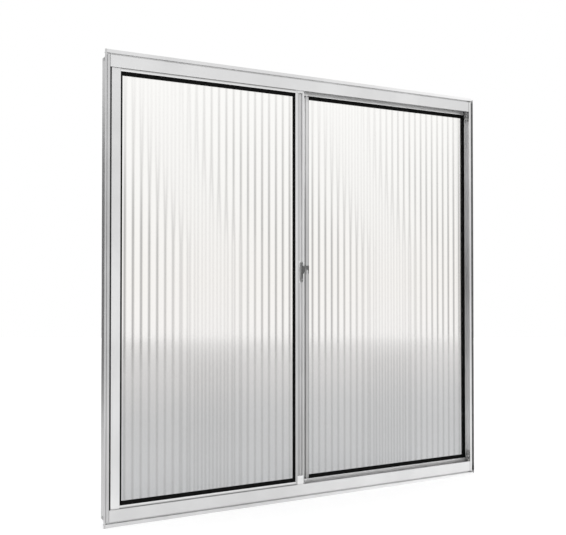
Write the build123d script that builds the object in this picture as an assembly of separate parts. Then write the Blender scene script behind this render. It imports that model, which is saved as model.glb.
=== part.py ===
from build123d import *
import os

# Aluminium window with one sliding leaf in front, at the left, and one fixed pane
# behind, at the right. X runs along the window, Y from front to back and Z up.
# The origin is the middle of the sill's underside. Sizes are in millimetres.

# The frame's body, without the lips that lap over the wall
frame_width = 986.0
frame_height = 976.0
pane_channel = 16.2

# Head and sill
frame_wall = 1.4
face_height = 25.0
face_bead = 1.0
edge_radius = 0.4
slot_height = 4.0
slot_depth = 7.0
lip_height = 8.0
lip_setback = 2.0
lip_bend = 3.4
lip_lean = 2.0
lip_overrun = 4.3
strip_rise = 5.5
ledge_drop = 9.0
track_width = 3.0
track_height = 8.0
guide_rib_height = 18.0
port_bore = 4.2
port_wall = 1.2
port_mouth = 2.6
port_seat = 0.2
joint_gap = 0.5

# Left jamb, a hollow face with a flat lip beside it
left_face = 6.0
left_chamber = 10.5
left_rebate = 12.0
left_slot = 1.0
left_slot_depth = 3.0
left_lip = 4.0
left_lip_gap = 0.5
chamber_wall = 1.2

# Right jamb, a narrow face with a deep groove beside it
right_face = 10.6
right_band = 5.8
right_groove_depth = 6.5
right_lip_reach = 2.9
right_lip_wall = 1.0
right_lip_setback = 0.4
jamb_rebate = 8.2

# Sliding leaf
leaf_thickness = 16.0
leaf_wall = 1.3
leaf_gap = 1.8
leaf_engagement = 14.0
leaf_bottom = 12.0
leaf_rail_show = 6.5
leaf_side_gap = 4.2
outer_stile_width = 19.4
glazing_depth = 8.3
meeting_edge = -19.7
stile_groove_width = 9.0
stile_groove_depth = 4.0
stile_groove_inset = 4.6

# Hooks of the meeting stile and the fixed bar
hook_reach = 4.0
hook_lip = 6.0
hook_wall = 1.2
hook_play = 0.8
hook_room = 2.5
hook_end_play = 2.0

# Fixed bar
mullion_edge = 5.2
mullion_setback = 1.7
mullion_strip = 8.0
mullion_slot = 10.8
mullion_slot_depth = 6.1

# Glass and rubber
glass_thickness = 4.0
flute_pitch = 18.0
flute_height = 1.2
glass_seat = 2.0
glass_play = 0.1
rail_gasket_show = 8.0
stile_gasket_show = 5.0
jamb_gasket_show = 1.8
gasket_lip = 1.6
gasket_rear_step = 2.6

# Rollers and guides
wheel_diameter = 12.0
wheel_width = 6.0
wheel_groove = 0.8
axle_diameter = 4.0
axle_play = 0.1
housing_length = 42.0
housing_height = 10.0
housing_corner = 4.0
housing_play = 0.3
wheel_room = 1.0
rib_play = 1.0
roller_inset = 60.0
guide_length = 30.0
guide_height = 9.0
guide_corner = 2.5

# Brush seals
brush_width = 5.0
brush_inset = 1.8
brush_play = 0.3
brush_rib = 0.8
pile_width = 3.6
pile_slot = 4.2
pile_pocket = 1.6
pile_backing = 1.0
pile_play = 0.3

# End caps of the meeting stile
cap_height = 3.0
cap_plate = 1.0
cap_width = 15.6
cap_inset = 2.9
cap_show_bottom = 19.5
cap_show_top = 6.0

# Buffers in the right jamb
stop_length_bottom = 32.0
stop_length_top = 14.0
stop_width = 10.0
stop_base = 2.2
stop_nose = 4.0
stop_nose_diameter = 8.0
stop_rise_bottom = 10.0
stop_drop_top = 16.0

# Latch
latch_z = 522.2
latch_length = 48.0
latch_width = 5.0
latch_inset = 3.4
latch_tip = 2.0
latch_taper = 5.0
latch_plate = 1.5
latch_stem = 1.6
latch_chamfer = 0.4
wing_rise = 5.4
wing_base = 18.8
wing_peak = 4.5
wing_flat = 3.0
wing_thickness = 1.8
arm_thickness = 2.0
arm_height = 9.5
arm_play = 0.7
arm_reach = 3.4
pivot_diameter = 4.0
keeper_height = 18.4
keeper_drop = 8.2
keeper_foot = 5.0
keeper_tongue = 10.0
keeper_plate = 1.2
keeper_clear = 1.0
latch_play = 0.3
notch_play = 2.0

# Places worked out from the sizes above
frame_depth = 3 * frame_wall + 2 * leaf_gap + leaf_thickness + pane_channel
front = -frame_depth / 2
back = frame_depth / 2
half_body = frame_width / 2
leaf_front = front + frame_wall + leaf_gap
leaf_back = leaf_front + leaf_thickness
leaf_middle = (leaf_front + leaf_back) / 2
flange_front = leaf_back + leaf_gap
flange_back = flange_front + frame_wall
pane_middle = (flange_back + back - frame_wall) / 2
strip_edge = face_height + strip_rise
ledge_top = strip_edge - ledge_drop
leaf_low = leaf_bottom
leaf_high = frame_height - leaf_engagement
rail_edge = face_height + leaf_rail_show
leaf_left = -half_body + left_face + leaf_side_gap
leaf_right = meeting_edge
stile_box = stile_groove_inset + stile_groove_width + leaf_wall
meeting_stile_width = stile_box + glazing_depth
track_top = frame_wall + track_height
band_right = half_body - right_face + right_band
groove_back = front + right_groove_depth + frame_wall
hook_back = leaf_back + hook_reach
hook_end = leaf_right - hook_lip
mullion_left = hook_end - hook_room - frame_wall
mullion_front = hook_back + mullion_setback
mullion_seat = mullion_edge - mullion_strip + frame_wall
clear_low = strip_edge + hook_end_play
groove_right = leaf_right - stile_groove_inset
groove_floor = leaf_front + stile_groove_depth
wing_z = latch_z + wing_rise
keeper_low = wing_z - keeper_drop


def bar(u, v):
    """A rectangle of a section, from its two spans."""
    return Pos((u[0] + u[1]) / 2, (v[0] + v[1]) / 2) * Rectangle(u[1] - u[0], v[1] - v[0])


def section(cells, rounds=()):
    """Walls joined to one section, with the corners at the given points rounded."""
    face = Sketch()
    for u, v in cells:
        face += bar(u, v)
    for radius, corners in rounds:
        picked = [p for p in face.vertices()
                  if any(abs(p.X - u) + abs(p.Y - v) < 0.01 for u, v in corners)]
        face = fillet(picked, radius)
    return face


def along_x(face, span):
    """Push a section drawn in Y and Z along X."""
    return Pos(span[0], 0, 0) * extrude(Plane.YZ * face, span[1] - span[0])


def along_z(face, span):
    """Push a section drawn in X and Y along Z."""
    return Pos(0, 0, span[0]) * extrude(face, span[1] - span[0])


def plate(outline, y):
    """A flat piece drawn in X and Z, from its front to its back."""
    face = make_face(Polyline(*outline, close=True))
    return Pos(0, y[1], 0) * extrude(Plane.XZ * face, y[1] - y[0])


def block(x, y, z):
    size = Box(x[1] - x[0], y[1] - y[0], z[1] - z[0])
    return Pos((x[0] + x[1]) / 2, (y[0] + y[1]) / 2, (z[0] + z[1]) / 2) * size


def flipped(shape):
    """The same piece at the head instead of the sill."""
    return Pos(0, 0, frame_height) * mirror(shape, about=Plane.XY)


def screw_port(u, v):
    """A round port that takes a screw's thread, open at its top."""
    outer = port_bore / 2 + port_wall
    ring = Circle(outer) - Circle(port_bore / 2) - bar((-port_mouth / 2, port_mouth / 2), (0, outer))
    return Pos(u + outer - port_seat, v + outer - port_seat) * ring


def rail_lip():
    """The slot below the face and the bent lip outside it, in Y and Z."""
    riser = front + slot_depth
    lip_front = front + lip_setback
    bend_z = -slot_height - lip_height + lip_bend
    low = -slot_height - lip_height
    skirt = Polyline((lip_front, -slot_height), (lip_front, bend_z), (lip_front + lip_lean, low),
                     (lip_front + lip_lean + frame_wall, low), (lip_front + frame_wall, bend_z),
                     (lip_front + frame_wall, -slot_height), close=True)
    bridge = bar((lip_front, riser + frame_wall), (-slot_height - frame_wall, -slot_height))
    riser_wall = bar((riser, riser + frame_wall), (-slot_height - frame_wall, 0))
    return make_face(skirt) + bridge, riser_wall


def frame_rail(rib):
    """The head and sill share one section, drawn with its outside at zero."""
    rib_low = leaf_middle - track_width / 2
    cells = [
        ((front, back), (0, frame_wall)),
        ((front, front + frame_wall), (0, face_height)),
        ((flange_front, flange_back), (0, strip_edge)),
        ((back - frame_wall, back), (0, strip_edge)),
        ((flange_front, back), (ledge_top - frame_wall, ledge_top)),
        ((rib_low, rib_low + track_width), (0, rib)),
    ]
    fine = [(front, 0), (flange_front, strip_edge), (back, strip_edge), (back, 0),
            (rib_low, rib), (rib_low + track_width, rib)]
    body = section(cells, [(face_bead, [(front, face_height)]), (edge_radius, fine)])
    body += screw_port(front + frame_wall, frame_wall) + screw_port(flange_back, frame_wall)
    lip, riser = rail_lip()
    inner = half_body - frame_wall
    rail = along_x(body, (-inner, inner)) + along_x(riser, (-half_body, half_body))
    rail += along_x(lip, (-half_body - lip_overrun, half_body))
    height = (0, frame_height)
    rail -= block((-half_body, -half_body + left_face + joint_gap), (front, front + left_chamber), height)
    rail -= block((half_body - right_face - joint_gap, half_body), (front, front + frame_wall), height)
    rail -= block((band_right - frame_wall - joint_gap, half_body), (front, groove_back), height)
    return rail - frame_jamb_left() - frame_jamb_right()


def frame_jamb_left():
    """A U section with a hollow face; its lip laps over the wall."""
    face = half_body - left_face
    lip = half_body + left_slot
    floor = front + left_slot_depth
    chamber = front + left_chamber
    cells = [
        ((half_body - frame_wall, half_body), (front, back)),
        ((face, half_body), (front, front + frame_wall)),
        ((face, face + chamber_wall), (front, chamber)),
        ((face, half_body), (chamber - chamber_wall, chamber)),
        ((half_body - left_rebate, half_body), (flange_front, flange_back)),
        ((half_body - jamb_rebate, half_body), (back - frame_wall, back)),
        ((half_body - frame_wall, lip + frame_wall), (floor, floor + frame_wall)),
        ((lip, lip + frame_wall), (front, floor + frame_wall)),
    ]
    fine = [(face, front), (face, chamber), (half_body, front), (half_body - left_rebate, flange_front),
            (half_body, back)]
    body = along_z(section(cells, [(edge_radius, fine)]), (0, frame_height))
    flat = section([((lip, lip + left_lip), (front, front + frame_wall))],
                   [(edge_radius, [(lip, front), (lip + left_lip, front)])])
    end = left_lip_gap - slot_height
    jamb = body + along_z(flat, (end, frame_height - end))
    return mirror(jamb, about=Plane.YZ)


def frame_jamb_right():
    """A U section whose face stands inside a deep groove and a thin lip."""
    face = half_body - right_face
    lip = half_body + right_lip_reach
    wall = band_right - frame_wall
    cells = [
        ((face, band_right), (front, front + frame_wall)),
        ((wall, band_right), (front, groove_back)),
        ((wall, lip), (groove_back - frame_wall, groove_back)),
        ((lip - right_lip_wall, lip), (front + right_lip_setback, groove_back)),
        ((half_body - frame_wall, half_body), (groove_back - frame_wall, back)),
        ((half_body - jamb_rebate, half_body), (flange_front, flange_back)),
        ((half_body - jamb_rebate, half_body), (back - frame_wall, back)),
    ]
    fine = [(face, front), (band_right, front), (half_body - jamb_rebate, flange_front), (half_body, back)]
    return along_z(section(cells, [(edge_radius, fine)]), (0, frame_height))


def frame_mullion():
    """The fixed bar holds the pane's left edge and hooks into the meeting stile."""
    strip = mullion_edge - mullion_strip
    slot_left = strip - mullion_slot
    slot_back = mullion_front + mullion_slot_depth
    rear = back - frame_wall
    cells = [
        ((strip, mullion_edge), (mullion_front, mullion_front + frame_wall)),
        ((strip, mullion_seat), (mullion_front, rear)),
        ((mullion_left, mullion_edge), (rear - frame_wall, rear)),
        ((slot_left, mullion_seat), (slot_back, slot_back + frame_wall)),
        ((slot_left - frame_wall, slot_left), (mullion_front, slot_back + frame_wall)),
        ((mullion_left, slot_left), (mullion_front, mullion_front + frame_wall)),
        ((mullion_left, mullion_left + frame_wall), (mullion_front, rear)),
    ]
    fine = [(strip, mullion_front), (mullion_edge, mullion_front), (slot_left, mullion_front)]
    bar_body = along_z(section(cells, [(edge_radius, fine)]), (ledge_top, frame_height - ledge_top))
    lip_front = leaf_back + hook_play
    lip_end = leaf_right - hook_wall - hook_play
    hook = [
        ((mullion_left, mullion_left + frame_wall), (lip_front, mullion_front + frame_wall)),
        ((mullion_left, lip_end), (lip_front, lip_front + hook_wall)),
    ]
    return bar_body + along_z(section(hook), (clear_low, frame_height - clear_low))


def brush_z():
    """The height of a rail's brush seal above the end of the rail."""
    return (brush_inset, brush_inset + brush_width)


def leaf_rail(far):
    """An H section: the glass goes in one side, the rollers or guides in the other."""
    web = (rail_edge - glazing_depth - leaf_wall, rail_edge - glazing_depth)
    low, high = (far + z for z in brush_z())
    rib = (leaf_back, leaf_back + brush_rib)
    cells = [
        ((leaf_front, leaf_front + leaf_wall), (far, rail_edge)),
        ((leaf_back - leaf_wall, leaf_back), (far, rail_edge)),
        ((leaf_front, leaf_back), web),
        (rib, (low - brush_rib, low)),
        (rib, (high, high + brush_rib)),
    ]
    fine = [(leaf_front, rail_edge), (leaf_back, rail_edge)]
    span = (leaf_left + outer_stile_width, leaf_right - meeting_stile_width)
    return along_x(section(cells, [(edge_radius, fine)]), span)


def leaf_outer_stile():
    """A hollow box with a glazing channel, and a pocket for the pile facing the jamb."""
    box = outer_stile_width - glazing_depth
    slot = (pile_middle() - pile_slot / 2, pile_middle() + pile_slot / 2)
    wide = (pile_middle() - brush_width / 2 - leaf_wall, pile_middle() + brush_width / 2 + leaf_wall)
    deep = leaf_wall + pile_pocket
    cells = [
        ((0, outer_stile_width), (leaf_front, leaf_front + leaf_wall)),
        ((0, outer_stile_width), (leaf_back - leaf_wall, leaf_back)),
        ((0, leaf_wall), (leaf_front, slot[0])),
        ((0, leaf_wall), (slot[1], leaf_back)),
        ((0, deep), (slot[1] + (wide[1] - slot[1]) / 2, wide[1])),
        ((deep, deep + leaf_wall), (leaf_front, wide[1])),
        ((box - leaf_wall, box), (leaf_front, leaf_back)),
    ]
    fine = [(0, leaf_front), (0, leaf_back), (outer_stile_width, leaf_front)]
    stile = along_z(section(cells, [(edge_radius, fine)]), (leaf_low, leaf_high))
    return Pos(leaf_left, 0, 0) * stile - rib_way()


def pile_middle():
    """The pile's place in the depth, just behind the stile's front wall."""
    return leaf_front + leaf_wall + brush_width / 2


def leaf_meeting_stile():
    """A box with a finger groove in front and the interlocking hook behind."""
    groove = (stile_groove_inset, stile_groove_inset + stile_groove_width)
    floor = (groove_floor, groove_floor + leaf_wall)
    cells = [
        ((0, groove[0]), (leaf_front, leaf_front + leaf_wall)),
        ((groove[0] - leaf_wall, groove[0]), (leaf_front, floor[1])),
        ((groove[0] - leaf_wall, stile_box), floor),
        ((groove[1], stile_box), (leaf_front, leaf_back)),
        ((groove[1], meeting_stile_width), (leaf_front, leaf_front + leaf_wall)),
        ((0, meeting_stile_width), (leaf_back - leaf_wall, leaf_back)),
        ((0, leaf_wall), (leaf_front, leaf_back)),
    ]
    fine = [(0, leaf_front), (groove[0], leaf_front), (groove[1], leaf_front),
            (meeting_stile_width, leaf_front)]
    stile = along_z(section(cells, [(edge_radius, fine)]), (leaf_low, leaf_high))
    hook = [((0, hook_wall), (leaf_back - leaf_wall, hook_back)),
            ((0, hook_lip), (hook_back - hook_wall, hook_back))]
    stile += along_z(section(hook), (clear_low, frame_height - clear_low))
    stile -= block((0, hook_lip), (leaf_back, hook_back), keeper_notch())
    return Pos(leaf_right, 0, 0) * mirror(stile, about=Plane.YZ) - rib_way()


def keeper_notch():
    """The gap in the hook that lets it pass the keeper."""
    return (keeper_low - notch_play, keeper_low + keeper_height + notch_play)


def rib_way():
    """The notch that lets the ends of the leaf pass over the ribs of the frame."""
    half = track_width / 2 + rib_play
    y = (leaf_middle - half, leaf_middle + half)
    x = (-half_body, mullion_edge)
    rib_end = frame_height - guide_rib_height
    return block(x, y, (0, track_top + rib_play)) + block(x, y, (rib_end - rib_play, frame_height))


def fluted_pane(x, middle, z):
    """Glass with round ribs down its front face and a flat back."""
    base = middle - glass_thickness / 2 + flute_height
    crest = middle - glass_thickness / 2
    rear = middle + glass_thickness / 2
    count = max(1, round((x[1] - x[0]) / flute_pitch))
    pitch = (x[1] - x[0]) / count
    edges = [Polyline((x[1], base), (x[1], rear), (x[0], rear), (x[0], base))]
    for i in range(count):
        start = x[0] + i * pitch
        edges.append(ThreePointArc((start, base), (start + pitch / 2, crest), (start + pitch, base)))
    return along_z(make_face(edges), z)


def gasket_outline(ahead, behind, reach, show):
    """Rubber that fills its channel and slopes down to the glass, as depth and height.

    Depths are from the middle of the pane, heights from the bottom of the channel.
    """
    slot = glass_thickness / 2 + glass_play
    lip = glass_thickness / 2 + gasket_lip
    tip = reach + show
    rear_tip = max(reach, tip - gasket_rear_step)
    return [(-ahead, 0), (behind, 0), (behind, reach), (lip, rear_tip), (slot, rear_tip),
            (slot, glass_seat), (-slot, glass_seat), (-slot, tip), (-lip, tip), (-ahead, reach)]


def gasket_x(ahead, behind, seat, edge, middle, x):
    """A level strip of rubber, with its seat and edge given as heights."""
    outline = gasket_outline(ahead, behind, edge - seat, rail_gasket_show)
    face = make_face(Polyline(*outline, close=True))
    return along_x(Pos(middle, seat) * face, x)


def gasket_z(ahead, behind, seat, edge, middle, z, show):
    """An upright strip, with its seat and edge given as places along X."""
    outline = gasket_outline(ahead, behind, abs(edge - seat), show)
    turned = [(height, depth) for depth, height in reversed(outline)]
    strip = along_z(make_face(Polyline(*turned, close=True)), z)
    if edge < seat:
        strip = mirror(strip, about=Plane.YZ)
    return Pos(seat, middle, 0) * strip


def leaf_glazing():
    half = leaf_thickness / 2 - leaf_wall
    seat = rail_edge - glazing_depth
    left = leaf_left + outer_stile_width
    right = leaf_right - meeting_stile_width
    x = (left - glazing_depth, right + glazing_depth)
    bottom = gasket_x(half, half, seat, rail_edge, leaf_middle, x) - leaf_outer_stile() - leaf_meeting_stile()
    top = flipped(bottom)
    z = (seat, frame_height - seat)
    upright = {}
    for name, place, edge in (("left", x[0], left), ("right", x[1], right)):
        strip = gasket_z(half, half, place, edge, leaf_middle, z, stile_gasket_show)
        upright[name] = strip - top - bottom
    pane = fluted_pane((x[0] + glass_seat, x[1] - glass_seat), leaf_middle,
                       (seat + glass_seat, frame_height - seat - glass_seat))
    return {"leaf_glass": pane, "leaf_gasket_top": top, "leaf_gasket_bottom": bottom,
            "leaf_gasket_left": upright["left"], "leaf_gasket_right": upright["right"]}


def fixed_glazing():
    half = (back - frame_wall - flange_back) / 2
    right = half_body - frame_wall
    bottom = gasket_x(half, half, ledge_top, strip_edge, pane_middle, (mullion_edge, right))
    top = flipped(bottom)
    z = (ledge_top, frame_height - ledge_top)
    upright = gasket_z(half, half, right, half_body - jamb_rebate, pane_middle, z, jamb_gasket_show)
    ahead = pane_middle - mullion_front - frame_wall
    behind = back - 2 * frame_wall - pane_middle
    inner = gasket_z(ahead, behind, mullion_seat, mullion_edge, pane_middle, z, gasket_lip)
    pane = fluted_pane((mullion_seat + glass_seat, right - glass_seat), pane_middle,
                       (ledge_top + glass_seat, frame_height - ledge_top - glass_seat))
    return {"fixed_glass": pane, "fixed_gasket_top": top, "fixed_gasket_bottom": bottom,
            "fixed_gasket_left": inner - top - bottom, "fixed_gasket_right": upright - top - bottom}


def roller(x):
    """A nylon housing in the bottom rail, with a grooved wheel on the track."""
    room = leaf_thickness / 2 - leaf_wall - housing_play
    web = rail_edge - glazing_depth - leaf_wall
    radius = wheel_diameter / 2
    axle_z = track_top + radius - wheel_groove
    y = (leaf_middle - room, leaf_middle + room)
    half = housing_length / 2
    low = web - housing_height
    bevel = housing_corner
    housing = plate([(x - half, web), (x - half, low + bevel), (x - half + bevel, low),
                     (x + half - bevel, low), (x + half, low + bevel), (x + half, web)], y)
    slot = wheel_width / 2 + housing_play
    housing -= block((x - radius - wheel_room, x + radius + wheel_room),
                     (leaf_middle - slot, leaf_middle + slot), (low, web))
    axle = Cylinder(axle_diameter / 2, 2 * room)
    housing += Pos(x, leaf_middle, axle_z) * Rot(90, 0, 0) * axle
    rim = wheel_width / 2
    bore = axle_diameter / 2 + axle_play
    throat = radius - wheel_groove
    outline = Polyline((bore, -rim), (radius, -rim), (throat, -track_width / 2),
                       (throat, track_width / 2), (radius, rim), (bore, rim), close=True)
    wheel = revolve(Plane.XZ * make_face(outline), Axis.Z)
    return housing, Pos(x, leaf_middle, axle_z) * Rot(90, 0, 0) * wheel


def guide(x):
    """A nylon block in the top rail that straddles the head's rib."""
    room = leaf_thickness / 2 - leaf_wall
    low = frame_height - rail_edge + glazing_depth + leaf_wall
    high = low + guide_height
    half = guide_length / 2
    y = (leaf_middle - room, leaf_middle + room)
    piece = plate([(x - half, low), (x + half, low), (x + half, high - guide_corner),
                   (x + half - guide_corner, high), (x - half + guide_corner, high),
                   (x - half, high - guide_corner)], y)
    slot = track_width / 2 + housing_play
    rib_end = frame_height - guide_rib_height
    return piece - block((x - half, x + half), (leaf_middle - slot, leaf_middle + slot),
                         (rib_end - rib_play, high))


def brushes():
    """Pile strips: behind both rails, beside the outer stile and behind the hook."""
    span = (leaf_left + outer_stile_width, leaf_right - meeting_stile_width)
    y = (leaf_back, flange_front - brush_play)
    low, high = brush_z()
    bottom = block(span, y, (leaf_low + low, leaf_low + high))
    top = block(span, y, (leaf_high - high, leaf_high - low))
    pocket = (leaf_left + leaf_wall, leaf_left + leaf_wall + pile_backing)
    half_back = brush_width / 2
    half_pile = pile_width / 2
    tip = leaf_left - leaf_side_gap + pile_play
    z = (leaf_low, leaf_high)
    outer = block(pocket, (pile_middle() - half_back, pile_middle() + half_back), z)
    outer += block((tip, pocket[1]), (pile_middle() - half_pile, pile_middle() + half_pile), z)
    way = (hook_end, leaf_right - hook_wall)
    depth = (hook_back, mullion_front - brush_play)
    notch = keeper_notch()
    meeting = block(way, depth, (clear_low, notch[0])) + block(way, depth, (notch[1], frame_height - clear_low))
    return {"leaf_brush_bottom": bottom, "leaf_brush_top": top, "leaf_brush_outer": outer - rib_way(),
            "leaf_brush_meeting": meeting}


def end_cap(top):
    """A pale moulding closes the meeting stile's end and covers its groove there."""
    end = leaf_high if top else leaf_low
    away = cap_height if top else -cap_height
    edge = frame_height - face_height - cap_show_top if top else face_height + cap_show_bottom
    x = (leaf_right - stile_box, leaf_right)
    y = (leaf_front, leaf_middle - track_width / 2 - rib_play if top else leaf_back)
    foot = block(x, y, sorted((end, end + away)))
    cover = (leaf_right - cap_inset - cap_width, leaf_right - cap_inset)
    foot += block(cover, (leaf_front - cap_plate, leaf_front), sorted((edge, end + away)))
    groove = (groove_right - stile_groove_width, groove_right)
    foot += block(groove, (leaf_front, groove_floor), sorted((edge, end)))
    return foot - rib_way()


def stop(z, length):
    """A rubber buffer in the right jamb's channel, a base with a round nose."""
    web = half_body - frame_wall
    middle = (groove_back + flange_front) / 2
    base = extrude(Plane.YZ * SlotOverall(length, stop_width, rotation=90), stop_base)
    nose = extrude(Plane.YZ * Circle(stop_nose_diameter / 2), stop_nose)
    piece = base + Pos(-stop_nose, 0, 0) * nose
    return Pos(web - stop_base, middle, z) * piece


def latch():
    """A thin bar on the stile, a wing that turns on it, and a keeper on the fixed bar."""
    right = leaf_right - latch_inset
    left = right - latch_width
    low = latch_z - latch_length / 2
    high = latch_z + latch_length / 2
    face = leaf_front - latch_plate
    side = (latch_width - latch_tip) / 2
    body = plate([(left + side, low), (right - side, low), (right, low + latch_taper),
                  (right, high - latch_taper), (right - side, high), (left + side, high),
                  (left, high - latch_taper), (left, low + latch_taper)], (face, leaf_front))
    body = chamfer(body.edges().group_by(Axis.Y)[0], latch_chamfer)
    stem = (groove_right - latch_stem, groove_right)
    body += block(stem, (leaf_front, groove_floor), (low + latch_taper, high - latch_taper))
    wing_y = (face - wing_thickness, face)
    peak = leaf_right + wing_peak
    wing = plate([(left, wing_z - wing_base / 2 + latch_width / 2), (right - side, wing_z - wing_base / 2),
                  (right, wing_z - wing_base / 2), (peak, wing_z - wing_flat / 2),
                  (peak, wing_z + wing_flat / 2), (right, wing_z + wing_base / 2),
                  (right - side, wing_z + wing_base / 2), (left, wing_z + wing_base / 2 - latch_width / 2)], wing_y)
    wing = chamfer(wing.edges().group_by(Axis.Y)[0], latch_chamfer)
    arm_x = (leaf_right + arm_play, leaf_right + arm_play + arm_thickness)
    arm_z = (wing_z - arm_height / 2, wing_z + arm_height / 2)
    wing += block(arm_x, (wing_y[0] + latch_chamfer, leaf_back + arm_reach), arm_z)
    pivot = Pos((left + right) / 2, wing_y[0], wing_z) * Rot(90, 0, 0) * Cylinder(pivot_diameter / 2, latch_plate)
    wing += pivot
    strip = (mullion_edge - keeper_foot, mullion_edge)
    flat = (mullion_front - keeper_plate, mullion_front)
    top = keeper_low + keeper_height
    keeper = block(strip, flat, (keeper_low, top))
    nose = arm_x[1] + latch_play
    keeper += block((nose, mullion_edge), flat, (top - keeper_tongue, top))
    keeper_front = leaf_back + keeper_clear
    keeper += block((nose, nose + keeper_plate), (keeper_front, mullion_front), (top - keeper_tongue, top))
    return {"latch_body": body, "latch_lever": wing, "latch_keeper": keeper}


def build():
    parts = {
        "frame_head": flipped(frame_rail(guide_rib_height)),
        "frame_sill": frame_rail(track_top),
        "frame_jamb_left": frame_jamb_left(),
        "frame_jamb_right": frame_jamb_right(),
        "frame_mullion": frame_mullion(),
        "leaf_top_rail": flipped(leaf_rail(leaf_engagement)),
        "leaf_bottom_rail": leaf_rail(leaf_bottom),
        "leaf_outer_stile": leaf_outer_stile(),
        "leaf_meeting_stile": leaf_meeting_stile(),
        "leaf_cap_top": end_cap(True),
        "leaf_cap_bottom": end_cap(False),
    }
    parts.update(leaf_glazing())
    parts.update(fixed_glazing())
    parts.update(brushes())
    ends = (leaf_left + roller_inset, leaf_right - roller_inset)
    for name, x in zip(("left", "right"), ends):
        parts["leaf_roller_" + name], parts["leaf_wheel_" + name] = roller(x)
        parts["leaf_guide_" + name] = guide(x)
    low = face_height + stop_rise_bottom
    high = frame_height - face_height - stop_drop_top
    parts["stop_bottom"] = stop(low, stop_length_bottom)
    parts["stop_top"] = stop(high, stop_length_top)
    parts.update(latch())
    return parts


os.makedirs("parts", exist_ok=True)
for name, shape in build().items():
    export_step(shape, "parts/" + name + ".step")
    print(name, round(shape.volume / 1000, 2), "cm3")
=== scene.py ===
import math

import bpy
from mathutils import Matrix, Vector


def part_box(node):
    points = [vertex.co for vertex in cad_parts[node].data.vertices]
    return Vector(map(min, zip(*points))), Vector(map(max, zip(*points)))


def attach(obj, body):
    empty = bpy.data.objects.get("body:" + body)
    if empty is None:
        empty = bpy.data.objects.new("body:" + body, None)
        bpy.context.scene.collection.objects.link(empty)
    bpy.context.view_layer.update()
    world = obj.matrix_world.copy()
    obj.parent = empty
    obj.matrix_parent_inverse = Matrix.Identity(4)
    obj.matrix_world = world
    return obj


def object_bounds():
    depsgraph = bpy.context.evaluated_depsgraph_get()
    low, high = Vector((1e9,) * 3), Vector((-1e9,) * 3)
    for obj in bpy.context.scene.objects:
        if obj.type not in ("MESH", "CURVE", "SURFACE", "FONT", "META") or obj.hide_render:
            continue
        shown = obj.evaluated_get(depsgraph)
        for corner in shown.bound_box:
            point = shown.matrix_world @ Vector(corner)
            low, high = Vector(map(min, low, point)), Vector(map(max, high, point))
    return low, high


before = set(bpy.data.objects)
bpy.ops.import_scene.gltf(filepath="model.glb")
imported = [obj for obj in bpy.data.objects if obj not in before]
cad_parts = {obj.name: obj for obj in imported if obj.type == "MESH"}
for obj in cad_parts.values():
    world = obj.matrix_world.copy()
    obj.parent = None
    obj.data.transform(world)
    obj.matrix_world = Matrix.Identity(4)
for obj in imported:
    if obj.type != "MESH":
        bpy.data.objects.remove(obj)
cadBox = [list(corner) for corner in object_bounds()]
print("frame loaded:", len(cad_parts), "nodes")


# Camera

camera = {
    "place": (-0.9515, -1.665, 0.5039),
    "turn": 27.97,     # degrees to the right of square on
    "tilt": 0.885,     # degrees upwards
    "lens": 50.99,
    "sensor": 36.0,
}


def addCamera():
    data = bpy.data.cameras.new("camera")
    data.lens = camera["lens"]
    data.sensor_width = camera["sensor"]
    eye = bpy.data.objects.new("camera", data)
    eye.location = camera["place"]
    eye.rotation_euler = (math.radians(90 + camera["tilt"]), 0, -math.radians(camera["turn"]))
    bpy.context.scene.collection.objects.link(eye)
    bpy.context.scene.camera = eye


addCamera()
print("camera set")


# Shader nodes that the materials share

def newTree(name):
    material = bpy.data.materials.new(name)
    material.use_nodes = True
    tree = material.node_tree
    return material, tree, tree.nodes["Principled BSDF"]


def join(tree, output, socket):
    tree.links.new(output, socket)


def addMath(tree, operation, first, second=0.0, clamp=False):
    node = tree.nodes.new("ShaderNodeMath")
    node.operation = operation
    node.use_clamp = clamp
    for value, socket in ((first, node.inputs[0]), (second, node.inputs[1])):
        if isinstance(value, (int, float)):
            socket.default_value = value
        else:
            join(tree, value, socket)
    return node.outputs[0]


def addPlace(tree, axis):
    # how far along that axis of the object the point lies, in metres
    place = tree.nodes.new("ShaderNodeTexCoord")
    split = tree.nodes.new("ShaderNodeSeparateXYZ")
    join(tree, place.outputs["Object"], split.inputs["Vector"])
    return split.outputs[axis]


def addNoise(tree, scale, stretch=(1.0, 1.0, 1.0)):
    # object coordinates, squeezed along each axis by stretch
    place = tree.nodes.new("ShaderNodeTexCoord")
    mapping = tree.nodes.new("ShaderNodeMapping")
    mapping.inputs["Scale"].default_value = stretch
    noise = tree.nodes.new("ShaderNodeTexNoise")
    noise.inputs["Scale"].default_value = scale
    noise.inputs["Detail"].default_value = 3.0
    join(tree, place.outputs["Object"], mapping.inputs["Vector"])
    join(tree, mapping.outputs["Vector"], noise.inputs["Vector"])
    return noise.outputs["Fac"]


def addRange(tree, value, low, high, start=0.0, end=1.0, smooth=False):
    # low up to start, high from end onwards
    fit = tree.nodes.new("ShaderNodeMapRange")
    fit.interpolation_type = "SMOOTHSTEP" if smooth else "LINEAR"
    fit.inputs["From Min"].default_value = start
    fit.inputs["From Max"].default_value = end
    fit.inputs["To Min"].default_value = low
    fit.inputs["To Max"].default_value = high
    join(tree, value, fit.inputs["Value"])
    return fit.outputs["Result"]


def addRamp(tree, value, stops):
    # stops are places from 0 to 1, each with its colour
    node = tree.nodes.new("ShaderNodeValToRGB")
    elements = node.color_ramp.elements
    while len(elements) < len(stops):
        elements.new(1.0)
    for element, (place, colour) in zip(elements, stops):
        element.position = place
        element.color = (*colour, 1)
    join(tree, value, node.inputs["Fac"])
    return node.outputs["Color"]


def greys(stops):
    return [(place, (tone,) * 3) for place, tone in stops]


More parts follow.
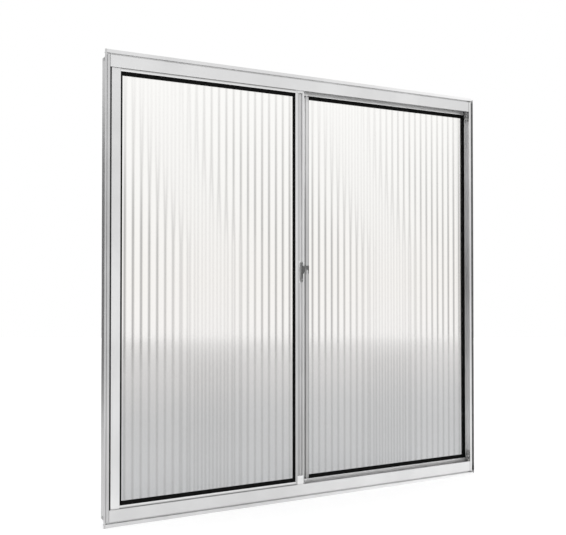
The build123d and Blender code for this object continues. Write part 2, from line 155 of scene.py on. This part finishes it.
def addMottle(tree, noise, dark, light, reach=0.2):
    # from dark to light around the middle of the noise
    return addRamp(tree, noise, ((0.5 - reach, dark), (0.5 + reach, light)))


def addMix(tree, amount, first, second, blend="MIX"):
    # inputs 0, 6 and 7 and output 2 are the ones that mix colours
    mix = tree.nodes.new("ShaderNodeMix")
    mix.data_type = "RGBA"
    mix.clamp_result = True
    mix.blend_type = blend
    for value, socket in ((amount, mix.inputs[0]), (first, mix.inputs[6]), (second, mix.inputs[7])):
        if isinstance(value, tuple):
            socket.default_value = (*value, 1)
        elif isinstance(value, (int, float)):
            socket.default_value = value
        else:
            join(tree, value, socket)
    return mix.outputs[2]


def addWindows(tree, windows):
    # 1.0 where every window is open; each is an axis, a shut place and an open place
    amount = 1.0
    for axis, shut, opened in windows:
        low, high = (0.0, 1.0) if shut < opened else (1.0, 0.0)
        window = addRange(tree, addPlace(tree, axis), low, high, min(shut, opened), max(shut, opened))
        amount = addMath(tree, "MULTIPLY", window, amount)
    return amount


def addZones(tree, colour, zones):
    # each zone is an axis, with places along it and the factor of the tone at each
    for axis, stops in zones:
        first, last = stops[0][0], stops[-1][0]
        top = max(factor for place, factor in stops)
        along = addRange(tree, addPlace(tree, axis), 0.0, 1.0, first, last)
        shares = greys(((place - first) / (last - first), factor / top) for place, factor in stops)
        colour = addMix(tree, 1.0, colour, addRamp(tree, along, shares), "MULTIPLY")
        colour = addMix(tree, 1.0, colour, (top,) * 3, "MULTIPLY")     # a ramp can't go above 1
    return colour


def addBump(tree, shader, height, strength, distance):
    bump = tree.nodes.new("ShaderNodeBump")
    bump.inputs["Strength"].default_value = strength
    bump.inputs["Distance"].default_value = distance
    join(tree, height, bump.inputs["Height"])
    join(tree, bump.outputs["Normal"], shader.inputs["Normal"])


# Extruded aluminium: one anodised metal, drawn in a lighter or darker tone for each kind of section as
# painted light and shade

aluminiumLook = {
    "spread": 0.05,            # how much the anodising varies
    "cloud": 9.0,              # scale of that variation
    "lines": 900.0,            # scale of the die's lines, across the extrusion
    "alongLine": 0.01,         # share of it along the extrusion
    "roughness": (0.38, 0.50),
    "relief": (0.15, 0.0002),
}

extrusions = {
    "head": {
        "tone": (0.725, 0.725, 0.727),
        "along": "X",
        "zones": (
            ("Y", ((-0.004, 1.0), (0.002, 1.4), (0.0188, 1.4), (0.0196, 1.0))),        # painted light behind the track, lifting the recess's shade
            ("X", ((0.4790, 1.0), (0.4812, 0.62), (0.4826, 0.62))),                    # right corner
            ("Z", ((0.9750, 1.0), (0.9758, 0.78), (0.9772, 0.78), (0.9785, 1.0))),     # painted shade in the slot by the lip
        ),
        "patches": (
            (0.92, (("Z", 0.9795, 0.9820), ("X", 0.0, 0.45))),                         # painted highlight on the lip's right half
            (0.42, (("Y", -0.0188, -0.0184), ("Y", -0.0040, -0.0060), ("Z", 0.9750, 0.9745))),  # painted shade in the channel
        ),
    },
    "sill": {
        "tone": (0.685, 0.685, 0.687),
        "along": "X",
        "zones": (
            # painted light behind the track, lifting the recess's shade
            ("Y", ((-0.004, 1.0), (0.002, 1.5), (0.0188, 1.5), (0.0196, 1.0))),
            # painted light: lighter towards the right; darker at the right corner
            ("X", ((-0.49, 1.0), (-0.15, 1.03), (0.1, 1.07), (0.3, 1.12),
                   (0.4790, 1.12), (0.4812, 0.70), (0.4826, 0.70))),
            # painted shade in the crease under the face
            ("Z", ((-0.0030, 1.0), (-0.0012, 0.80), (0.0002, 0.80), (0.0012, 1.0))),
        ),
        "patches": (
            # painted highlight on the lower lip's right half
            (0.92, (("Z", -0.0040, -0.0065), ("X", 0.0, 0.45))),
            # painted shade in the channel
            (0.55, (("Y", -0.0188, -0.0184), ("Y", -0.0040, -0.0060), ("Z", 0.0010, 0.0015))),
        ),
    },
    "leftJamb": {
        "tone": (0.57, 0.57, 0.573),
        "along": "Z",
        "zones": (
            # painted shade: darker in the middle of its height
            ("Z", ((0.22, 1.0), (0.42, 0.87), (0.60, 0.87), (0.78, 1.0))),
        ),
    },
    "rightJamb": {
        "tone": (0.62, 0.62, 0.622),
        "along": "Z",
        "zones": (
            # painted light and shade: lighter at top and bottom, darker in the middle and towards the outer
            # groove
            ("Z", ((0.12, 1.25), (0.5, 0.92), (0.82, 1.2))),
            ("X", ((0.4885, 1.0), (0.4945, 0.9))),
        ),
    },
    "leaf": {
        "tone": (0.70, 0.70, 0.702),
        "along": "Z",
        "zones": (
            # painted light: the stile lighter near its foot
            ("Z", ((0.03, 1.16), (0.13, 1.0))),
        ),
    },
    "meeting": {
        "tone": (0.71, 0.71, 0.712),
        "along": "Z",
        "zones": (
            # painted shade over the groove's left part and painted light over its right part
            ("X", ((-0.0372, 1.0), (-0.0364, 0.72), (-0.0300, 0.76),
                   (-0.0276, 1.15), (-0.0244, 1.15), (-0.0238, 1.0))),
            # darker towards the bottom
            ("Z", ((0.1, 0.70), (0.4, 0.82), (0.6, 0.95), (0.75, 1.0))),
        ),
        "patches": (
            (0.50, (("X", -0.0278, -0.0266), ("X", -0.0240, -0.0250), ("Z", 0.40, 0.80))),  # painted shade along the groove's edge
            (0.97, (("X", -0.0338, -0.0330), ("X", -0.0262, -0.0270),
                    ("Z", 0.4960, 0.4990), ("Z", 0.5490, 0.5460))),                    # painted light in the groove under the latch
        ),
    },
    "leafRail": {
        "tone": (0.80, 0.80, 0.80),
        "along": "X",
        "zones": (
            # painted shade along the rails' edges next to the frame
            ("Z", ((0.0256, 0.45), (0.0276, 1.0), (0.9482, 1.0), (0.9504, 0.55))),
        ),
    },
    "bar": {
        "tone": (0.52, 0.52, 0.52),
        "along": "Z",
        "zones": (
            # painted shade in the slot and painted light on the face deeper in
            ("Y", ((0.0049, 1.0), (0.0052, 0.66), (0.0074, 0.70),
                   (0.0084, 1.6), (0.0108, 1.6), (0.0114, 1.35))),
            # painted light: lighter towards the top
            ("Z", ((0.2, 0.86), (0.62, 0.95), (0.85, 1.3))),
        ),
    },
}


def extrudedAluminium(name, tone, along, zones, patches=()):
    # satin anodised metal with the die's fine lines along the extrusion, and with painted light and shade
    # from most of its zones and patches
    look = aluminiumLook
    material, tree, shader = newTree("aluminium_" + name)
    lines = addNoise(tree, look["lines"], [look["alongLine"] if axis == along else 1.0 for axis in "XYZ"])
    cloud = addNoise(tree, look["cloud"])
    dark = tuple(c * (1 - look["spread"]) for c in tone)
    light = tuple(c * (1 + look["spread"]) for c in tone)
    colour = addZones(tree, addMottle(tree, cloud, dark, light), zones)
    for patchTone, windows in patches:
        colour = addMix(tree, addWindows(tree, windows), colour, (patchTone,) * 3)
    join(tree, colour, shader.inputs["Base Color"])
    join(tree, addRange(tree, lines, *look["roughness"]), shader.inputs["Roughness"])
    addBump(tree, shader, lines, *look["relief"])
    shader.inputs["Metallic"].default_value = 1.0
    return material


# Black rubber of the gaskets

rubberLook = {
    "dark": (0.002, 0.002, 0.002),
    "light": (0.005, 0.005, 0.005),
    "grain": 60.0,
    "roughness": (0.7, 0.85),
    "sheen": 0.06,
}


def blackRubber():
    look = rubberLook
    material, tree, shader = newTree("blackRubber")
    cloud = addNoise(tree, look["grain"])
    join(tree, addMottle(tree, cloud, look["dark"], look["light"]), shader.inputs["Base Color"])
    join(tree, addRange(tree, cloud, *look["roughness"]), shader.inputs["Roughness"])
    shader.inputs["Specular IOR Level"].default_value = look["sheen"]
    return material


# Ribbed glass with painted shade along its ribs' valleys and painted light that grows with height; 0 is the
# middle of a pane's width and 1 is its side

glassLook = {
    "tintsAndLight": (                 # the glass's tint with painted light, lighter towards the top, at heights in metres, as the three rows below
        (0.05, (0.87, 0.878, 0.89)),
        (0.20, (0.893, 0.893, 0.897)),
        (0.28, (0.925, 0.912, 0.905)),
        (0.50, (0.93, 0.91, 0.885)),
        (0.70, (0.945, 0.935, 0.915)),
        (0.92, (0.975, 0.968, 0.95)),
    ),
    "lean": ((0.58, 0.0), (0.78, 0.4), (0.95, 0.6)),    # the strongest lines move to the right
    "upward": ((0.30, 0.1), (0.37, 0.96), (0.62, 0.96), (0.80, 0.70), (0.93, 0.40)),    # share of strength
    "low": ((0.12, 0.18), (0.30, 0.21), (0.37, 0.0)),   # strength added over the whole width
    "pitch": 0.018,
    "ribShadeTone": 0.12,
    "lineWidth": 0.28,         # share of a rib, to each side of its valley
    "split": 0.24,             # how far a valley's two lines part in the middle
    "parted": (0.1, 0.5),      # they draw together from the first place and meet at the second
    "middle": 0.15,            # strength of the lines in the middle
    "sides": 0.64,             # and towards the sides
    "growing": (0.06, 0.76),   # where it grows from the one to the other
    "roughness": 0.1,
    "index": 1.45,
}


def addRibShadeLines(tree, low, high):
    # how strongly the painted shade lines show along the valleys of a pane's ribs
    look = glassLook
    x = addPlace(tree, "X")
    z = addPlace(tree, "Z")
    count = round((high.x - low.x) / look["pitch"])
    rib = addRange(tree, x, 0.0, count, low.x, high.x)
    fromValley = addMath(tree, "ABSOLUTE", addMath(tree, "SUBTRACT", rib, addMath(tree, "ROUND", rib)))
    across = addRange(tree, x, -1.0, 1.0, low.x, high.x)
    lean = addRamp(tree, z, greys(look["lean"]))
    side = addMath(tree, "ABSOLUTE", addMath(tree, "ADD", across, lean))
    parting = addRange(tree, side, look["split"], 0.0, *look["parted"], smooth=True)
    fromLine = addMath(tree, "ABSOLUTE", addMath(tree, "SUBTRACT", fromValley, parting))
    line = addRange(tree, fromLine, 1.0, 0.0, 0.0, look["lineWidth"], smooth=True)
    strength = addRange(tree, side, look["middle"], look["sides"], *look["growing"], smooth=True)
    strength = addMath(tree, "MULTIPLY", strength, addRamp(tree, z, greys(look["upward"])))
    strength = addMath(tree, "ADD", strength, addRamp(tree, z, greys(look["low"])))
    return addMath(tree, "MULTIPLY", line, strength)


def addClearShadow(tree, shader):
    # shadow rays go straight through, so light falls through the pane
    clear = tree.nodes.new("ShaderNodeBsdfTransparent")
    rays = tree.nodes.new("ShaderNodeLightPath")
    mix = tree.nodes.new("ShaderNodeMixShader")
    join(tree, rays.outputs["Is Shadow Ray"], mix.inputs[0])
    join(tree, shader.outputs["BSDF"], mix.inputs[1])
    join(tree, clear.outputs["BSDF"], mix.inputs[2])
    join(tree, mix.outputs["Shader"], tree.nodes["Material Output"].inputs["Surface"])


def ribbedGlass(name, node):
    look = glassLook
    material, tree, shader = newTree(name)
    low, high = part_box(node)
    # painted shade along the ribs, over a tint with painted light by height
    lines = addRibShadeLines(tree, low, high)
    tintAndLight = addRamp(tree, addPlace(tree, "Z"), look["tintsAndLight"])
    join(tree, addMix(tree, lines, tintAndLight, (look["ribShadeTone"],) * 3), shader.inputs["Base Color"])
    shader.inputs["Transmission Weight"].default_value = 1.0
    shader.inputs["Roughness"].default_value = look["roughness"]
    shader.inputs["IOR"].default_value = look["index"]
    addClearShadow(tree, shader)
    return material


# Moulded plastic and soft rubber

plastics = {
    # the dark seal in the right jamb's groove, which stands for its shade
    "seal": {"dark": (0.05, 0.05, 0.05), "light": (0.09, 0.09, 0.09)},
    "buffer": {
        "dark": (0.05, 0.05, 0.05),
        "light": (0.75, 0.75, 0.74),
        "grain": 260.0,
        "roughness": (0.5, 0.7),
    },
    "nylon": {"dark": (0.60, 0.60, 0.58), "light": (0.68, 0.68, 0.66)},
    "cap": {
        "dark": (0.68, 0.68, 0.68),
        "light": (0.76, 0.76, 0.76),
        # painted shade: caps higher up drawn darker
        "zones": (("Z", ((0.5, 1.0), (0.9, 0.75))),),
    },
}
plasticRelief = (0.1, 0.0002)


def mouldedPlastic(name, dark, light, grain=120.0, roughness=(0.4, 0.55), zones=()):
    material, tree, shader = newTree(name)
    cloud = addNoise(tree, grain)
    colour = addZones(tree, addMottle(tree, cloud, dark, light, reach=0.15), zones)
    join(tree, colour, shader.inputs["Base Color"])
    join(tree, addRange(tree, cloud, *roughness), shader.inputs["Roughness"])
    addBump(tree, shader, cloud, *plasticRelief)
    return material


# Woven pile of the brush seals

pileLook = {
    "dark": (0.012, 0.012, 0.012),
    "light": (0.05, 0.05, 0.052),
    "grain": 2200.0,
    "stretch": (0.15, 0.15, 1.0),      # fibres lie across the seal, so the grain is long in X and Y
    "roughness": (0.8, 0.95),
    "relief": (0.6, 0.0008),
    "sheen": 0.2,
}


def wovenPile():
    look = pileLook
    material, tree, shader = newTree("brushPile")
    fibres = addNoise(tree, look["grain"], look["stretch"])
    join(tree, addMottle(tree, fibres, look["dark"], look["light"]), shader.inputs["Base Color"])
    join(tree, addRange(tree, fibres, *look["roughness"]), shader.inputs["Roughness"])
    addBump(tree, shader, fibres, *look["relief"])
    shader.inputs["Specular IOR Level"].default_value = look["sheen"]
    return material


# Cast metal of latch and screws, with painted light where all its windows are open

castings = {
    "latchBar": {
        "dark": (0.07, 0.07, 0.07),
        "light": (0.11, 0.11, 0.11),
        "paintedLight": (0.55, 0.55, 0.55),
        "windows": (("Y", -0.0181, -0.0177),),
    },
    "latchWing": {
        "dark": (0.08, 0.08, 0.08),
        "light": (0.12, 0.12, 0.12),
        "paintedLight": (0.2, 0.2, 0.2),
        "windows": (("X", -0.0200, -0.0175),),
    },
    "keeper": {
        "dark": (0.10, 0.10, 0.10),
        "light": (0.16, 0.16, 0.16),
        "paintedLight": (0.6, 0.6, 0.6),
        "windows": (("Z", 0.5282, 0.5274), ("X", 0.0028, 0.0022)),
        # painted shade: darker towards the right
        "zones": (("X", ((0.0021, 1.0), (0.0027, 0.3))),),
    },
    "zinc": {"dark": (0.42, 0.42, 0.42), "light": (0.55, 0.55, 0.55)},
}
castLook = {
    "grain": 300.0,
    "roughness": (0.4, 0.6),
    "relief": (0.15, 0.0001),
    "metallic": 0.6,
}


def castMetal(name, dark, light, paintedLight=None, windows=(), zones=()):
    look = castLook
    material, tree, shader = newTree(name)
    cloud = addNoise(tree, look["grain"])
    colour = addMottle(tree, cloud, dark, light)
    if paintedLight:
        colour = addMix(tree, addWindows(tree, windows), colour, paintedLight)
    join(tree, addZones(tree, colour, zones), shader.inputs["Base Color"])
    join(tree, addRange(tree, cloud, *look["roughness"]), shader.inputs["Roughness"])
    addBump(tree, shader, cloud, *look["relief"])
    shader.inputs["Metallic"].default_value = look["metallic"]
    return material


# Which piece has which finish

finishes = {name: extrudedAluminium(name, **look) for name, look in extrusions.items()}
finishes.update({
    "rubber": blackRubber(),
    "seal": mouldedPlastic("shadeSealRubber", **plastics["seal"]),
    "buffer": mouldedPlastic("bufferRubber", **plastics["buffer"]),
    "leafGlass": ribbedGlass("ribbedGlassLeaf", "leaf_glass"),
    "fixedGlass": ribbedGlass("ribbedGlassFixed", "fixed_glass"),
    "pile": wovenPile(),
    "nylon": mouldedPlastic("nylon", **plastics["nylon"]),
    "cap": mouldedPlastic("capPlastic", **plastics["cap"]),
    "latchBar": castMetal("latchBarMetal", **castings["latchBar"]),
    "latchWing": castMetal("latchWingMetal", **castings["latchWing"]),
    "keeper": castMetal("keeperMetal", **castings["keeper"]),
    "zinc": castMetal("screwZinc", **castings["zinc"]),
})

pieceFinish = {
    "frame_head": "head", "frame_sill": "sill",
    "frame_jamb_left": "leftJamb", "frame_jamb_right": "rightJamb", "frame_mullion": "bar",
    "leaf_top_rail": "leafRail", "leaf_bottom_rail": "leafRail",
    "leaf_outer_stile": "leaf", "leaf_meeting_stile": "meeting",
    "leaf_glass": "leafGlass", "fixed_glass": "fixedGlass",
    "latch_body": "latchBar", "latch_lever": "latchWing", "latch_keeper": "keeper",
}
familyFinish = (("gasket", "rubber"), ("stop", "buffer"), ("brush", "pile"), ("cap", "cap"),
                ("roller", "nylon"), ("wheel", "nylon"), ("guide", "nylon"))

for name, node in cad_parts.items():
    finish = pieceFinish.get(name) or next(f for word, f in familyFinish if word in name)
    node.data.materials.clear()
    node.data.materials.append(finishes[finish])
print("finishes given to the nodes")


# How new pieces start, and how their faces and edges are chosen

def newBox(name, low, high):
    bpy.ops.object.select_all(action="DESELECT")
    middle = [(a + b) / 2 for a, b in zip(low, high)]
    size = [b - a for a, b in zip(low, high)]
    bpy.ops.mesh.primitive_cube_add(size=1, location=middle, scale=size)
    bpy.ops.object.transform_apply(location=True, rotation=True, scale=True)
    piece = bpy.context.object
    piece.name = name
    return piece


def chooseNone(piece):
    bpy.ops.object.mode_set(mode="OBJECT")
    for part in (piece.data.vertices, piece.data.edges, piece.data.polygons):
        for item in part:
            item.select = False


def chooseFaces(piece, toward):
    # the faces that look that way, give or take 25 degrees, in edit mode
    chooseNone(piece)
    for face in piece.data.polygons:
        face.select = face.normal.dot(Vector(toward)) > math.cos(math.radians(25))
    bpy.ops.object.mode_set(mode="EDIT")
    bpy.ops.mesh.select_mode(type="FACE")


def chooseEdges(piece, test):
    # the edges whose two ends pass the test, in edit mode
    chooseNone(piece)
    places = [vertex.co for vertex in piece.data.vertices]
    for edge in piece.data.edges:
        edge.select = test(*(places[corner] for corner in edge.vertices))
    bpy.ops.object.mode_set(mode="EDIT")
    bpy.ops.mesh.select_mode(type="EDGE")


# Dark seal in the right jamb's groove, put there as painted shade: a soft strip with a raised bulb, and the
# plug under it

jambShadeSeal = {
    "left": 0.4882,
    "right": 0.4949,
    "inset": 0.0001,       # clear of the groove's two walls
    "front": -0.0181,
    "back": -0.0136,
    "end": 0.0012,         # in from the frame body's underside and top
    "lipReach": 0.012,     # from the body's top to the top of the lip
    "bulb": 0.0011,        # how far the bulb stands out
    "strip": 0.0016,       # flat strip at each side of it
    "round": 0.0006,
}

shadeSealFoot = {
    "height": 0.011,
    "gap": 0.0002,         # under the seal
    "rim": 0.0009,
    "raised": 0.0004,      # how far the rim stands above the middle
    "round": 0.0003,
}


def addJambShadeSeal():
    shape = jambShadeSeal
    start = shape["end"] + shadeSealFoot["height"] + shadeSealFoot["gap"]
    top = cadBox[1][2] - shape["lipReach"] - shape["end"]
    low = (shape["left"] + shape["inset"], shape["front"], start)
    high = (shape["right"] - shape["inset"], shape["back"], top)
    seal = newBox("jambShadeSeal", low, high)
    chooseFaces(seal, (0, -1, 0))
    bpy.ops.mesh.inset(thickness=shape["strip"], depth=0)
    bpy.ops.mesh.extrude_region_move(TRANSFORM_OT_translate={"value": (0, -shape["bulb"], 0)})
    bpy.ops.mesh.bevel(offset=shape["round"], segments=3)
    bpy.ops.object.mode_set(mode="OBJECT")
    bpy.ops.object.shade_smooth_by_angle(angle=math.radians(40))
    seal.data.materials.append(finishes["seal"])
    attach(seal, "root")


def addShadeSealFoot():
    shape = jambShadeSeal
    low = (shape["left"] + shape["inset"], shape["front"] - shape["bulb"], shape["end"])
    high = (shape["right"] - shape["inset"], shape["back"], shape["end"] + shadeSealFoot["height"])
    plug = newBox("shadeSealFoot", low, high)
    chooseFaces(plug, (0, -1, 0))
    bpy.ops.mesh.inset(thickness=shadeSealFoot["rim"], depth=-shadeSealFoot["raised"])
    bpy.ops.mesh.bevel(offset=shadeSealFoot["round"], segments=2)
    bpy.ops.object.mode_set(mode="OBJECT")
    plug.data.materials.append(finishes["rubber"])
    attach(plug, "root")


addJambShadeSeal()
addShadeSealFoot()
print("jamb seal and its foot made")


# Ends of the jambs' lips, run past the frame to meet the lips of head and sill

lipEnds = {
    "left": {
        "width": 0.0040,
        "setback": 0.0,        # from the jamb's front
        "depth": 0.0014,
        "reach": 0.0078,       # past the jamb
        "corner": 0.0024,      # cut off at the tip, on the outer side
        "round": 0.0003,       # on the upright front edges
    },
    "right": {
        "width": 0.0010,
        "setback": 0.0004,
        "depth": 0.0079,
        "reach": 0.0075,
        "corner": 0.0006,
        "round": 0.0003,
    },
}


def bothAt(first, second, place):
    return max(abs(first - place), abs(second - place)) < 0.00001


def addLipEnd(side, end):
    look = lipEnds[side]
    jambLow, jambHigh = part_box("frame_jamb_" + side)
    x = (jambLow.x, jambLow.x + look["width"]) if side == "left" else (jambHigh.x - look["width"], jambHigh.x)
    z = (jambHigh.z, jambHigh.z + look["reach"]) if end == "top" else (jambLow.z - look["reach"], jambLow.z)
    outer = x[0] if side == "left" else x[1]
    tip = z[1] if end == "top" else z[0]
    front = jambLow.y + look["setback"]
    piece = newBox("lipEnd_" + side + "_" + end, (x[0], front, z[0]), (x[1], front + look["depth"], z[1]))
    chooseEdges(piece, lambda a, b: bothAt(a.x, b.x, outer) and bothAt(a.z, b.z, tip))
    bpy.ops.mesh.bevel(offset=look["corner"], segments=1)
    upright = look["reach"] / 2     # longer than the cut corner, shorter than the edges beside it
    chooseEdges(piece, lambda a, b: bothAt(a.y, b.y, front) and abs(a.z - b.z) > upright)
    bpy.ops.mesh.bevel(offset=look["round"], segments=2)
    bpy.ops.object.mode_set(mode="OBJECT")
    bpy.ops.object.shade_smooth_by_angle(angle=math.radians(40))
    piece.data.materials.append(finishes[side + "Jamb"])
    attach(piece, "root")


for side in lipEnds:
    for end in ("top", "bottom"):
        addLipEnd(side, end)
print("lip ends made")


# Screws with a cross recess: frame corners, latch and keeper

screwLook = {
    "frameHead": (0.0032, 0.0018),     # radius and height
    "latchHead": (0.0013, 0.0005),
    "round": 0.45,                     # of the height
    "recess": 0.55,                    # of the height
    "slot": (1.15, 0.26),              # length and width, of the radius
    "frameX": 0.493,                   # the outer faces of the frame's body
    "sillZ": 0.0045,
    "headZ": 0.9715,
    "portY": 0.0055,                   # the rear screw ports of head and sill
    "barEnd": 0.007,                   # in from the ends of the latch's bar
    "keeperIn": (0.0025, 0.0012, 0.004),     # in from the keeper's right, back and lower sides
}


def cutSlot(screw, radius, height, turn):
    length, width = screwLook["slot"]
    size = (radius * length, radius * width, height * screwLook["recess"] * 2)
    bpy.ops.object.select_all(action="DESELECT")
    bpy.ops.mesh.primitive_cube_add(size=1, location=(0, 0, height), scale=size)
    bpy.ops.object.transform_apply(location=True, scale=True)
    cutter = bpy.context.object
    cutter.data.transform(Matrix.Rotation(math.radians(turn), 4, "Z"))
    cut = screw.modifiers.new("recess", "BOOLEAN")
    cut.operation = "DIFFERENCE"
    cut.solver = "EXACT"
    cut.object = cutter
    bpy.context.view_layer.objects.active = screw
    bpy.ops.object.modifier_apply(modifier=cut.name)
    bpy.data.objects.remove(cutter)


def newScrew(size):
    # stands on the origin, head up
    radius, height = size
    bpy.ops.object.select_all(action="DESELECT")
    bpy.ops.mesh.primitive_cylinder_add(vertices=32, radius=radius, depth=height, location=(0, 0, height / 2))
    bpy.ops.object.transform_apply(location=True)
    screw = bpy.context.object
    chooseFaces(screw, (0, 0, 1))
    bpy.ops.mesh.bevel(offset=height * screwLook["round"], segments=4)
    bpy.ops.object.mode_set(mode="OBJECT")
    for turn in (0, 90):
        cutSlot(screw, radius, height, turn)
    bpy.ops.object.select_all(action="DESELECT")
    screw.select_set(True)
    bpy.ops.object.shade_smooth_by_angle(angle=math.radians(35))
    screw.data.materials.append(finishes["zinc"])
    return screw


def addScrew(model, name, place, toward):
    # a copy of the model with a mesh of its own
    screw = model.copy()
    screw.data = model.data.copy()
    screw.name = name
    aim = Vector(toward).to_track_quat("Z", "Y").to_matrix().to_4x4()
    screw.data.transform(Matrix.Translation(place) @ aim)
    bpy.context.collection.objects.link(screw)
    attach(screw, "root")


def addFrameScrews():
    look = screwLook
    model = newScrew(look["frameHead"])
    for side, x in (("left", -look["frameX"]), ("right", look["frameX"])):
        for end, z in (("sill", look["sillZ"]), ("head", look["headZ"])):
            addScrew(model, "frameScrew_" + side + "_" + end, (x, look["portY"], z), (x, 0, 0))
    bpy.data.objects.remove(model)


def addLatchScrews():
    look = screwLook
    model = newScrew(look["latchHead"])
    barLow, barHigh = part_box("latch_body")
    barX = (barLow.x + barHigh.x) / 2
    for end, z in (("low", barLow.z + look["barEnd"]), ("high", barHigh.z - look["barEnd"])):
        addScrew(model, "latchScrew_" + end, (barX, barLow.y, z), (0, -1, 0))
    keeperLow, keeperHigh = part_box("latch_keeper")
    left, forward, up = look["keeperIn"]
    place = (keeperHigh.x - left, keeperHigh.y - forward, keeperLow.z + up)
    addScrew(model, "keeperScrew", place, (0, -1, 0))
    bpy.data.objects.remove(model)


addFrameScrews()
addLatchScrews()
print("screws made")


# Floor, dark board, background and lights

floorLook = {
    "level": cadBox[0][2],
    "side": 10.4,
    "tones": ((0.15, 0.65), (0.7, 0.595), (1.0, 0.585), (1.5, 0.60),
              (2.2, 0.64), (3.2, 0.69), (4.4, 0.80), (5.2, 0.95)),     # at metres behind the window, with painted light that grows with distance
    "white": 0.42,     # added for the camera and in mirrors
    "roughness": 0.9,
}


def addFloor():
    look = floorLook
    bpy.ops.object.select_all(action="DESELECT")
    turn = (0, 0, -math.radians(camera["turn"]))     # its far edge lies level in the picture
    bpy.ops.mesh.primitive_plane_add(size=look["side"], location=(0, 0, look["level"]), rotation=turn)
    floor = bpy.context.object
    floor.name = "floor"
    material, tree, shader = newTree("paleFloor")
    far = look["tones"][-1][0]
    back = addRange(tree, addPlace(tree, "Y"), 0.0, 1.0, 0.0, far)
    tones = greys((place / far, tone) for place, tone in look["tones"])
    join(tree, addRamp(tree, back, tones), shader.inputs["Base Color"])
    shader.inputs["Roughness"].default_value = look["roughness"]
    rays = tree.nodes.new("ShaderNodeLightPath")
    throughGlass = rays.outputs["Is Transmission Ray"]
    mirrored = addMath(tree, "SUBTRACT", rays.outputs["Is Glossy Ray"], throughGlass, clamp=True)
    seen = addMath(tree, "MAXIMUM", rays.outputs["Is Camera Ray"], mirrored)
    shader.inputs["Emission Color"].default_value = (1, 1, 1, 1)
    join(tree, addMath(tree, "MULTIPLY", seen, look["white"]), shader.inputs["Emission Strength"])
    floor.data.materials.append(material)


flag = {
    "place": (-1.0, 1.4, 0.52),
    "size": (1.5, 1.2),
    "turn": 10,
    "tone": 0.08,
    "roughness": 0.9,
}


def addFlag():
    # a dark board, back left and out of the camera's sight, for the metal's side walls to mirror
    bpy.ops.object.select_all(action="DESELECT")
    turn = (math.radians(90), 0, math.radians(flag["turn"]))
    bpy.ops.mesh.primitive_plane_add(size=1, location=flag["place"], rotation=turn)
    board = bpy.context.object
    board.name = "flag"
    board.scale = (*flag["size"], 1)
    material, tree, shader = newTree("darkBoard")
    shader.inputs["Base Color"].default_value = (flag["tone"],) * 3 + (1,)
    shader.inputs["Roughness"].default_value = flag["roughness"]
    board.data.materials.append(material)
    board.visible_camera = board.visible_transmission = False
    board.visible_diffuse = board.visible_shadow = False


skyLight = 0.95     # on the object; the camera, mirrors and glass see plain white


def addBackground():
    world = bpy.data.worlds.new("world")
    bpy.context.scene.world = world
    world.use_nodes = True
    tree = world.node_tree
    light = tree.nodes["Background"]
    light.inputs["Color"].default_value = (1, 1, 1, 1)
    light.inputs["Strength"].default_value = skyLight
    white = tree.nodes.new("ShaderNodeBackground")
    white.inputs["Color"].default_value = (1, 1, 1, 1)
    white.inputs["Strength"].default_value = 1.0
    rays = tree.nodes.new("ShaderNodeLightPath")
    seen = rays.outputs["Is Camera Ray"]
    for ray in ("Is Glossy Ray", "Is Transmission Ray"):
        seen = addMath(tree, "MAXIMUM", seen, rays.outputs[ray])
    mix = tree.nodes.new("ShaderNodeMixShader")
    join(tree, seen, mix.inputs[0])
    join(tree, light.outputs[0], mix.inputs[1])
    join(tree, white.outputs[0], mix.inputs[2])
    join(tree, mix.outputs[0], tree.nodes["World Output"].inputs["Surface"])


lamps = {
    "keyLight": {"place": (-2.2, -3.4, 2.2), "side": 2.5, "power": 60},
    "fillLight": {"place": (2.6, -3.6, 1.0), "side": 3.0, "power": 45},
}
lampAim = (0, 0, 0.5)


def addLamp(name, look):
    data = bpy.data.lights.new(name, "AREA")
    data.shape = "SQUARE"
    data.size = look["side"]
    data.energy = look["power"]
    lamp = bpy.data.objects.new(name, data)
    lamp.location = look["place"]
    lamp.visible_camera = lamp.visible_glossy = lamp.visible_transmission = False
    toward = Vector(lampAim) - Vector(look["place"])
    lamp.rotation_euler = toward.to_track_quat("-Z", "Y").to_euler()
    bpy.context.scene.collection.objects.link(lamp)


addFloor()
addFlag()
addBackground()
for name, look in lamps.items():
    addLamp(name, look)
bpy.context.scene.view_settings.view_transform = "Standard"
print("floor, background and lights set")
